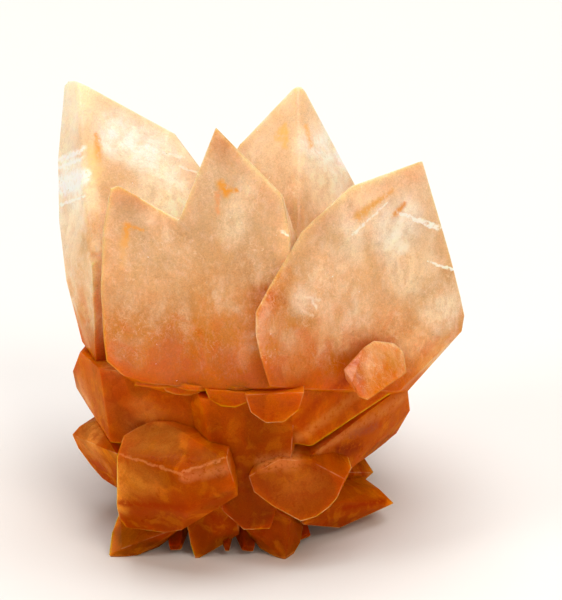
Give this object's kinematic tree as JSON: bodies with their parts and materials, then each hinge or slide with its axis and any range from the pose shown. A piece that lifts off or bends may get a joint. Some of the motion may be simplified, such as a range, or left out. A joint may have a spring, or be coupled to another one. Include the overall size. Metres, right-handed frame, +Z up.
{
  "type": "calcite specimen",
  "caption": "Freestanding cluster of blocky honey-orange calcite crystals, with tall pale pointed blades above a waist and short deep orange points splaying out below it.",
  "frame": {"origin": "middle of the flat broken place underneath, on the surface that the cluster stands on", "axes": "+Z up, -Y towards the front that the picture shows, +X to the right as seen from the front"},
  "size_m": [0.082, 0.0788, 0.085],
  "materials": {
    "calcite": "satin to glassy crystal faces, translucent, pale peach at the tips and deep orange-brown at the foot"
  },
  "bodies": {
    "root": {"calcite_cluster": "calcite"}
  },
  "joints": []
}
